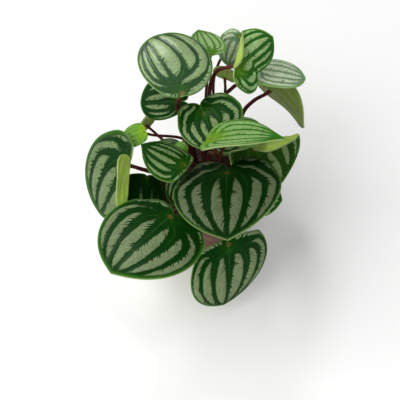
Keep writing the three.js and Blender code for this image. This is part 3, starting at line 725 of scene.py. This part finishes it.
def material_named(name, roughness, **sockets):
    """Turns a function that adds a material's nodes into one that builds it once and then hands it out."""
    def turn(add_nodes):
        def hand_out(*settings):
            material = bpy.data.materials.get(name)
            if material is None:
                material = bpy.data.materials.new(name)
                material.use_nodes = True
                shader = material.node_tree.nodes["Principled BSDF"]
                shader.inputs["Roughness"].default_value = roughness
                for key, value in sockets.items():
                    shader.inputs[key.replace("_", " ")].default_value = value
                add_nodes(Nodes(material.node_tree, shader), *settings)
            return material
        return hand_out
    return turn


def scaled(n, tint, value):
    """The colour times one value."""
    grey = n.add("CombineColor", {0: value, 1: value, 2: value})
    return n.mix(1, tint, grey.outputs[0], "MULTIPLY")


@material_named("Leaf upper face", 0.42, Specular_IOR_Level=0.03, Coat_Roughness=0.28)
def upper_material(n, settings):
    young, pale = n.kept("young"), n.kept("pale")
    names = ("vein", "stripe", "along", "edge", "from_stalk", "chance", "band", "margin")
    pattern = n.group(vein_pattern(), Glow=n.ramp(young, 0.3, 1, 0.22, 0.42), Place=n.place(),
                      **{name.capitalize(): n.kept(name) for name in names})
    very_young = n.maths("POWER", young, 2.5)
    # pale greys both the dark and the silver green: a painted sheen.
    dark = n.layers(settings.dark, (very_young, YOUNG_DARK), (n.times(pale, 0.8), PAINTED_SHEEN_DARK))
    silver = n.layers(settings.silver, (young, YOUNG_SILVER), (n.times(pale, 0.7), PAINTED_SHEEN_SILVER))
    margin = n.mix(young, settings.margin, YOUNG_MARGIN)
    heart = n.mix(very_young, HEART_GREEN, YOUNG_HEART)
    line = n.times(n.ramp(n.kept("line"), 0.002, 0.008, 0.5, 0),
                   n.ramp(n.kept("from_stalk"), 0.15, 0.55, 1, 0.15))
    base = n.layers(
        dark, (pattern["Silver"], silver), (n.times(pattern["Margin"], 0.8), margin),
        (n.kept("fresh"), FRESH_GREEN),
        (n.ramp(n.kept("edge"), 0.004, 0.013, 0.75, 0), EDGE_GREEN),
        (n.times(pattern["Heart"], n.ramp(young, 0, 1, 0.6, 0.95)), heart),
        (line, n.mix(young, MIDRIB_GREEN, YOUNG_MIDRIB)),
        (n.times(pattern["Spot"], 0.85), SCAR_BROWN), (n.times(pattern["Fleck"], 0.85), FLECK_BROWN))
    cloud = n.ramp(pattern["Cloud"], 0.25, 0.75, 0.91, 1.09)
    grain = n.ramp(pattern["Grain"], 0.3, 0.7, 0.78, 1.22)
    # tone paints the upper face lighter or darker, partly its own lightness and partly painted light and
    # shade.
    shade = n.times(n.times(cloud, grain), n.kept("tone"))
    n.link(n.kept("gloss"), n.shader.inputs["Coat Weight"])
    rough = n.plus(0.38, n.times(pattern["Silver"], 0.08))
    rough = n.plus(rough, n.times(pattern["Grain"], 0.08))
    n.paint(scaled(n, base, shade), rough)
    n.bump(pattern["Grain"], 0.25, 0.0002)


@material_named("Leaf under face", 0.55, Specular_IOR_Level=0.2)
def under_material(n, settings):
    pattern = n.group(vein_pattern(), From_stalk=n.kept("from_stalk"), Place=n.place())
    base = n.layers(
        settings.under, (n.kept("young"), YOUNG_UNDER),
        (n.ramp(n.kept("vein"), -0.01, 0.02, 0.14, 0), UNDER_VEIN),
        (n.times(pattern["Spot"], 0.7), UNDER_SCAR))
    # under_tone paints the underside lighter or darker, partly its own lightness and partly painted light and
    # shade.
    shade = n.times(n.ramp(pattern["Cloud"], 0.25, 0.75, 0.84, 1.12), n.kept("under_tone"))
    rough = n.plus(0.46, n.times(pattern["Grain"], 0.14))
    n.paint(scaled(n, base, shade), rough)
    n.bump(pattern["Grain"], 0.3, 0.0002)


def grain_of(n, scale, broad):
    """The fine grain and the broad patches where the point lies."""
    grain = n.group(speckle(), Place=n.place(), Scale=scale, Broad=broad)
    return grain["Fine"], grain["Patches"]


@material_named("Leaf edge", 0.45, Specular_IOR_Level=0.2)
def rim_material(n):
    fine, patches = grain_of(n, 500, 140)
    base = n.mix(n.ramp(patches, 0.35, 0.65), *CUT_GREENS)
    n.paint(base, n.ramp(fine, 0.2, 0.8, 0.4, 0.55))


@material_named("Stalk", 0.38, Specular_IOR_Level=0.06)
def stalk_material(n, settings):
    fine, patches = grain_of(n, 900, 220)
    end = n.kept("end")
    base = n.layers(
        settings.stalk, (n.ramp(patches, 0.3, 0.7), STALK_PATCH),
        (n.ramp(end, 0.84, 1, 0, 0.5), STALK_END), (n.ramp(end, 0, 0.14, 0.45, 0), STALK_FOOT))
    n.paint(base, n.ramp(fine, 0.2, 0.8, 0.3, 0.48))
    n.bump(fine, 0.25, 0.0002)


@material_named("Potting soil", 0.95)
def soil_material(n, settings):
    fine, patches = grain_of(n, 900, 260)
    base = n.layers(settings.soil, (n.ramp(patches, 0.3, 0.7), SOIL_PATCH),
                    (n.ramp(fine, 0.55, 0.75), SOIL_GRIT))
    n.paint(base, n.ramp(fine, 0.2, 0.8, 0.85, 1))
    n.bump(fine, 0.8, 0.0008)


@material_named("Bark crumbs", 0.9)
def crumb_material(n):
    fine, patches = grain_of(n, 1200, 300)
    base = n.mix(n.ramp(patches, 0.35, 0.65), *BARK_BROWNS)
    n.paint(base, n.ramp(fine, 0.2, 0.8, 0.75, 0.98))
    n.bump(fine, 0.6, 0.0004)


@material_named("Pot plastic", 0.55)
def pot_material(n, settings):
    fine, patches = grain_of(n, 1500, 70)
    parts = n.add("SeparateXYZ", {0: n.place()})
    low = n.ramp(parts.outputs["Z"], 0, 0.012, 0.45, 0)
    base = n.layers(
        settings.pot, (n.ramp(patches, 0.3, 0.75), POT_PATCH),
        (n.ramp(fine, 0.62, 0.8, 0, 0.35), POT_SCUFF),
        (n.times(low, n.ramp(patches, 0.4, 0.6)), POT_DUST))
    n.paint(base, n.ramp(patches, 0.2, 0.8, 0.48, 0.68))
    n.bump(fine, 0.2, 0.0002)


# ---- Pieces ----

# A blade is a disc of spokes and rings, fewer of them on a narrow one. The rings crowd toward the edge.
SMALL_WIDTH, SMALL_DISC, DISC = 27, (96, 20), (140, 34)
RING_POWER, SPOKE_SHIFT = 0.85, 0.15
# The width from which the stripes are raised in full, and the share of that height under the blade's level.
FULL_RELIEF_WIDTH, RELIEF_MIDDLE = 40, 0.4
EDGE_ROUNDING = 0.22
CHANCE_STEP = 0.618


def model_blade(leaf, settings):
    spokes, rings = SMALL_DISC if leaf["width"] < SMALL_WIDTH else DISC
    name = f'leaf_{leaf["number"]:02d}_blade'
    piece, u, v = sheet(f"{name}_striped", spokes, rings)
    even = -math.pi + 2 * math.pi * u
    theta = even - SPOKE_SHIFT * np.sin(2 * even)
    rho = v ** RING_POWER
    look = dict(PLAIN_LOOK, band=settings.band * 100, margin=settings.margin_width * 100)
    look.update(LOOKS[leaf["number"]])
    fields = vein_fields(leaf, theta, rho, look.pop("heart"), look.pop("veer"), look.pop("midrib"))
    silver = smooth(0.01, 0.06, fields["vein"]) * smooth(0.0, 0.07, fields["edge"])
    relief = settings.relief / MM * min(1.0, leaf["width"] / FULL_RELIEF_WIDTH)
    rise = (silver - RELIEF_MIDDLE) * relief * smooth(0.0, 0.3, rho)
    place(piece, blade_points(leaf, theta, rho, rise) * MM)
    for key, values in fields.items():
        keep_values(piece, key, values)
    look["chance"] = (leaf["number"] - 1) * CHANCE_STEP % 1
    for key, value in look.items():
        keep_values(piece, key, np.full(len(u), value / 100 if key in ("band", "margin") else value))
    group = piece.vertex_groups.new(name="thick")
    for ring in range(rings + 1):
        share = 1 - (ring / rings) ** RING_POWER
        group.add([int(i) for i in np.nonzero(np.abs(v - ring / rings) < 1e-4)[0]], share, "REPLACE")
    weld(piece)
    modify(piece, "Thickness", "SOLIDIFY", thickness=settings.thickness, offset=0, vertex_group="thick",
           thickness_vertex_group=settings.edge, material_offset=1, material_offset_rim=2)
    round_edges(piece, "Rounded edge", EDGE_ROUNDING, 65)
    dress(piece, upper_material(settings), under_material(settings), rim_material())
    apply_modifiers(piece)
    smooth_faces(piece, 50)
    hand_over(piece, name)


# How a stalk ends: it comes in under the blade and turns toward its normal, swells there, and swells at its
# foot.
ARRIVE_BELOW, END_BELOW = 0.8, 0.45
ARRIVE_ALONG, ARRIVE_UP = 0.6, 0.7
TOP_SWELL, TOP_LENGTH = 0.30, 2.0
FOOT_SWELL, FOOT_LENGTH = 0.12, 6.0
STALK_STEPS = 10


def stalk_path(leaf):
    """The stalk's centre line, in millimetres: straight in the soil, then a smooth curve up to the blade."""
    n = face_normal(leaf)
    top = blade_points(leaf, np.zeros(1), np.zeros(1))[0]
    foot = np.array([*leaf["foot"], SOIL_TOP], float)
    knots = [foot, *(np.array(p, float) for p in leaf["via"]), top - n * ARRIVE_BELOW]
    arrive = knots[3] - knots[2]
    arrive = arrive / norm(arrive) * ARRIVE_ALONG + n * ARRIVE_UP
    arrive /= norm(arrive)
    knots[3] = top - n * END_BELOW
    chord = [norm(knots[i + 1] - knots[i]) for i in range(3)]
    t = np.concatenate([[0], np.cumsum(np.sqrt(chord))])
    lean = np.array([leaf["foot"][0] * STALK_LEAN, leaf["foot"][1] * STALK_LEAN, 1.0])
    lean /= norm(lean)
    slope = [lean * chord[0] / t[1], (knots[2] - knots[0]) / t[2], (knots[3] - knots[1]) / (t[3] - t[1]),
             arrive * chord[2] / (t[3] - t[2])]
    path = [foot - lean * STALK_DEPTH, foot]
    s = np.arange(1, STALK_STEPS + 1)[:, None] / STALK_STEPS
    for i in range(3):
        h = t[i + 1] - t[i]
        path.extend((2 * s ** 3 - 3 * s ** 2 + 1) * knots[i] + (s ** 3 - 2 * s ** 2 + s) * h * slope[i]
                    + (3 * s ** 2 - 2 * s ** 3) * knots[i + 1] + (s ** 3 - s ** 2) * h * slope[i + 1])
    return np.array(path)


def model_stalk(leaf, settings):
    name = f'leaf_{leaf["number"]:02d}_stalk'
    path = stalk_path(leaf)
    thick, thin = SLIM_RADII if leaf["slim"] else STALK_RADII
    run = np.concatenate([[0], np.cumsum(norm(np.diff(path, axis=0), axis=1))])
    share = run / run[-1]
    radius = thick + (thin - thick) * share
    radius = radius * (1 + TOP_SWELL * np.exp(-((run[-1] - run) / TOP_LENGTH) ** 2)
                       + FOOT_SWELL * np.exp(-(run / FOOT_LENGTH) ** 2))
    deselect()
    bpy.ops.curve.primitive_bezier_curve_add()
    piece = bpy.context.object
    piece.name = f"{name}_bar"
    curve = piece.data
    curve.splines.clear()
    spline = curve.splines.new("POLY")
    spline.points.add(len(path) - 1)
    for point, at, r in zip(spline.points, path, radius):
        point.co = (*(at * MM), 1)
        point.radius = r * MM
    curve.bevel_depth = 1
    curve.bevel_resolution = 2
    curve.use_fill_caps = True
    only(piece)
    bpy.ops.object.convert(target="MESH")
    piece = bpy.context.object
    piece.data.name = f"{name}_bar"
    weld(piece)
    face_out(piece)
    nearest = ((points_of(piece)[:, None, :] / MM - path[None]) ** 2).sum(-1).argmin(1)
    keep_values(piece, "end", share[nearest])
    dress(piece, stalk_material(settings))
    smooth_faces(piece, 60)
    hand_over(piece, name)


# The pot's outside under its rim, its mouth, and the small gap between soil and pot.
WALL_TOP = RIM_RADIUS - 3.4
MOUTH = RIM_RADIUS - 2.8
RIM_FOOT = POT_HEIGHT - RIM_DEPTH
SOIL_GAP = 0.2
POT_ROUNDING = 0.25


def pot_profile():
    """Radius and height along the pot's skin, from the middle of its underside over the rim to its floor."""
    corners = (
        (BASE_RADIUS, 0, ((-1.4, 0), (-0.5, 0.35), (0, 1.4), (3.4, 20))),
        (WALL_TOP, RIM_FOOT, ((0, -0.4), (0.5, -0.1))),
        (RIM_RADIUS, RIM_FOOT, ((-0.9, 0), (-0.3, 0.3), (-0.1, 1))),
        (RIM_RADIUS, POT_HEIGHT, ((0, -1.6), (-0.6, -0.4), (-1.6, 0))),
        (MOUTH, POT_HEIGHT, ((0.4, -0.4), (0, -1.4))),
        (WALL_TOP - WALL, RIM_FOOT, ((0, -0.4),)),
        (BASE_RADIUS - WALL, FLOOR, ((0, 1.2), (-0.4, 0.35), (-1.4, 0))),
    )
    skin = [(radius + out, height + up) for radius, height, steps in corners for out, up in steps]
    return [(0, 0), (10, 0), *skin, (8, FLOOR), (0, FLOOR)]


def turned(name, profile, sides):
    """A round piece from a profile of (radius, height), turned about the z axis."""
    piece, u, v = sheet(name, sides, len(profile) - 1)
    rows = np.rint(v * (len(profile) - 1)).astype(int)
    radius = np.array([p[0] for p in profile], float)[rows]
    height = np.array([p[1] for p in profile], float)[rows]
    angle = 2 * math.pi * u
    place(piece, np.stack([radius * np.cos(angle), radius * np.sin(angle), height], -1) * MM)
    weld(piece)
    face_out(piece)
    return piece


def model_pot(settings):
    piece = turned("pot_nursery", pot_profile(), settings.sides)
    cutters = []
    reach = DRAIN_SPAN[1] - DRAIN_SPAN[0]
    middle = (DRAIN_SPAN[0] + reach / 2) * MM
    for i in range(DRAIN_COUNT):
        a = 2 * math.pi * (i + 0.5) / DRAIN_COUNT
        deselect()
        bpy.ops.mesh.primitive_cylinder_add(
            vertices=32, radius=DRAIN_RADIUS * MM, depth=reach * MM, rotation=(0, math.pi / 2, a),
            location=(middle * math.cos(a), middle * math.sin(a), DRAIN_HEIGHT * MM))
        cutters.append(bpy.context.object)
    cutter = joined(cutters)
    modify(piece, "Drainage notches", "BOOLEAN", operation="DIFFERENCE", solver="EXACT", object=cutter)
    round_edges(piece, "Moulded edges", POT_ROUNDING, 50)
    apply_modifiers(piece)
    bpy.data.objects.remove(cutter)
    dress(piece, pot_material(settings))
    smooth_faces(piece, 35)
    hand_over(piece, "pot")


# Frequency per millimetre, level of the noise, and height in millimetres of the soil's lumps.
LUMPS = ((0.16, 3.0, 0.7), (0.5, 8.0, 0.45), (1.4, 1.0, 0.25))
SOIL_RINGS, SOIL_SPOKES = 44, 96


def soil_height(x, y):
    """Height of the soil's lumps over its level, in millimetres."""
    return sum(noise.noise(Vector((x * often, y * often, level))) * height for often, level, height in LUMPS)


def soil_brim():
    """Radius of the soil's surface."""
    return MOUTH - (MOUTH - WALL_TOP + WALL) * (POT_HEIGHT - 1.4 - SOIL_TOP) / (RIM_DEPTH - 1) - SOIL_GAP


def model_soil(settings):
    brim = soil_brim()
    profile = [(0, FLOOR + SOIL_GAP), (BASE_RADIUS - WALL - 1.4 - SOIL_GAP, FLOOR + SOIL_GAP),
               (BASE_RADIUS - WALL - SOIL_GAP, FLOOR + 1.2 + SOIL_GAP),
               (WALL_TOP - WALL - SOIL_GAP, RIM_FOOT - 0.4), (brim, SOIL_TOP - 0.6)]
    profile += [(brim * (1 - i / SOIL_RINGS) ** 0.9, SOIL_TOP) for i in range(1, SOIL_RINGS)]
    profile.append((0, SOIL_TOP))
    piece = turned("soil_potting", profile, SOIL_SPOKES)
    points = points_of(piece) / MM
    for i, (x, y, z) in enumerate(points):
        if z > SOIL_TOP - 0.1:
            points[i, 2] = SOIL_TOP + soil_height(x, y) * min(1.0, (brim - math.hypot(x, y)) / 3 + 0.3)
    place(piece, points * MM)
    dress(piece, soil_material(settings))
    smooth_faces(piece, 60)
    hand_over(piece, "soil")


# Crumbs of bark, in millimetres: their size, its stretch along three axes, how uneven they are, the room left
# for the stalks and the pot, and how far up they lie, as a share of their own height.
CRUMB_SIZE, CRUMB_STRETCH = (0.5, 1.4), ((0.7, 1.5), (0.6, 1.1), (0.4, 0.8))
CRUMB_UNEVENNESS = (0.85, 1.12)
STALK_ROOM, POT_ROOM = 1.9, 2.0
CRUMB_LIFT = 0.35


def model_crumbs(settings):
    draw = random.Random(11)
    made = []
    deselect()
    bpy.ops.mesh.primitive_ico_sphere_add(subdivisions=1, radius=1 * MM)
    pattern = bpy.context.object
    brim = soil_brim() - POT_ROOM
    feet = [leaf["foot"] for leaf in LEAVES]
    while len(made) < settings.crumbs:
        r, a = brim * math.sqrt(draw.random()), draw.uniform(0, 2 * math.pi)
        x, y = r * math.cos(a), r * math.sin(a)
        size = draw.uniform(*CRUMB_SIZE)
        if min(math.hypot(x - f[0], y - f[1]) for f in feet) < size + STALK_ROOM:
            continue
        crumb = pattern.copy()
        crumb.data = pattern.data.copy()
        bpy.context.collection.objects.link(crumb)
        stretch = Vector([draw.uniform(*span) for span in CRUMB_STRETCH]) * size
        turn = Matrix.Rotation(draw.uniform(0, 2 * math.pi), 3, "Z")
        middle = Vector((x, y, SOIL_TOP + soil_height(x, y) + stretch.z * CRUMB_LIFT))
        for vertex in crumb.data.vertices:
            stretched = vertex.co * stretch * draw.uniform(*CRUMB_UNEVENNESS)
            vertex.co = turn @ stretched + middle * MM
        made.append(crumb)
    bpy.data.objects.remove(pattern)
    piece = joined(made)
    piece.name = "soil_crumbs"
    piece.data.name = "soil_crumbs"
    dress(piece, crumb_material())
    hand_over(piece, None)


# ---- Operators ----


class PEPEROMIA_OT_pot(Operator):
    """Model the nursery pot with its rolled rim and drainage notches"""
    bl_idname = "peperomia.pot"
    bl_label = "Pot"

    def execute(self, context):
        model_pot(context.scene.peperomia_pot)
        return {"FINISHED"}


class PEPEROMIA_OT_soil(Operator):
    """Model the potting soil and the loose crumbs on it"""
    bl_idname = "peperomia.soil"
    bl_label = "Soil"

    def execute(self, context):
        model_soil(context.scene.peperomia_pot)
        model_crumbs(context.scene.peperomia_pot)
        return {"FINISHED"}


class PEPEROMIA_OT_stalks(Operator):
    """Model a stalk for every leaf"""
    bl_idname = "peperomia.stalks"
    bl_label = "Stalks"

    def execute(self, context):
        for leaf in LEAVES:
            model_stalk(leaf, context.scene.peperomia_leaf)
        return {"FINISHED"}


class PEPEROMIA_OT_blades(Operator):
    """Model the striped blades"""
    bl_idname = "peperomia.blades"
    bl_label = "Blades"

    def execute(self, context):
        for leaf in LEAVES:
            model_blade(leaf, context.scene.peperomia_leaf)
        return {"FINISHED"}


# Name, place and size in metres, and tint of the lights, which all point at LIGHT_AIM.
LIGHTS = (("key", (-0.75, -0.12, 1.20), 1.3, (1.0, 0.995, 0.98)),
          ("sheen", (-0.20, 1.03, 1.21), 0.35, (1.0, 1.0, 1.0)),
          ("fill", (-0.5, -1.0, 1.1), 2.2, (0.98, 0.99, 1.0)))
LIGHT_AIM = (0, -0.01, 0.09)
ROOM_LIGHT = 0.36
CAMERA_PLACE, CAMERA_TILT = (-0.0042, -0.3256, 0.5939), 30


def soft_light(name, where, size, tint, power):
    deselect()
    bpy.ops.object.light_add(type="AREA", location=where)
    light = bpy.context.object
    light.name = name
    light.rotation_euler = (Vector(LIGHT_AIM) - Vector(where)).to_track_quat("-Z", "Y").to_euler()
    light.data.shape = "DISK"
    light.data.size = size
    light.data.energy = power
    light.data.color = tint


@material_named("Plain floor", 0.9)
def floor_material(n, settings):
    n.fill(n.shader.inputs["Base Color"], settings.floor)


class PEPEROMIA_OT_stage(Operator):
    """Set up the floor, the soft lights and the camera"""
    bl_idname = "peperomia.stage"
    bl_label = "Stage"

    def execute(self, context):
        scene = context.scene
        settings = scene.peperomia_stage
        deselect()
        bpy.ops.mesh.primitive_plane_add(size=8)
        floor = context.object
        floor.name = "floor"
        dress(floor, floor_material(settings))
        world = bpy.data.worlds.new("Pale room")
        world.use_nodes = True
        background = world.node_tree.nodes["Background"]
        background.inputs["Color"].default_value = (1.0, 1.0, 1.0, 1)
        background.inputs["Strength"].default_value = ROOM_LIGHT
        scene.world = world
        for name, where, size, tint in LIGHTS:
            soft_light(name, where, size, tint, getattr(settings, name))
        bpy.ops.object.camera_add(location=CAMERA_PLACE, rotation=(CAMERA_TILT * RAD, 0, 0))
        camera = context.object
        camera.name = "camera"
        camera.data.sensor_width = 36
        camera.data.lens = settings.lens
        camera.data.clip_start = 0.01
        scene.camera = camera
        scene.view_settings.view_transform = "Standard"
        return {"FINISHED"}


class PEPEROMIA_PT_panel(Panel):
    """Lists the pieces and their settings"""
    bl_label = "Potted peperomia"
    bl_idname = "PEPEROMIA_PT_panel"
    bl_space_type = "VIEW_3D"
    bl_region_type = "UI"
    bl_category = "Peperomia"

    def draw(self, context):
        layout = self.layout
        for settings, operators in (
            (context.scene.peperomia_pot, (PEPEROMIA_OT_pot, PEPEROMIA_OT_soil)),
            (context.scene.peperomia_leaf, (PEPEROMIA_OT_stalks, PEPEROMIA_OT_blades)),
            (context.scene.peperomia_stage, (PEPEROMIA_OT_stage,)),
        ):
            box = layout.box()
            for name in settings.__annotations__:
                box.prop(settings, name)
            for operator in operators:
                box.operator(operator.bl_idname)


CLASSES = (LeafSettings, PotSettings, StageSettings, PEPEROMIA_OT_pot, PEPEROMIA_OT_soil, PEPEROMIA_OT_stalks,
           PEPEROMIA_OT_blades, PEPEROMIA_OT_stage, PEPEROMIA_PT_panel)


def register():
    for cls in CLASSES:
        bpy.utils.register_class(cls)
    bpy.types.Scene.peperomia_leaf = PointerProperty(type=LeafSettings)
    bpy.types.Scene.peperomia_pot = PointerProperty(type=PotSettings)
    bpy.types.Scene.peperomia_stage = PointerProperty(type=StageSettings)


def unregister():
    del bpy.types.Scene.peperomia_leaf
    del bpy.types.Scene.peperomia_pot
    del bpy.types.Scene.peperomia_stage
    for cls in reversed(CLASSES):
        bpy.utils.unregister_class(cls)


def main():
    register()
    bpy.ops.peperomia.pot()
    bpy.ops.peperomia.soil()
    bpy.ops.peperomia.stalks()
    bpy.ops.peperomia.blades()
    bpy.ops.peperomia.stage()


if __name__ == "__main__":
    main()
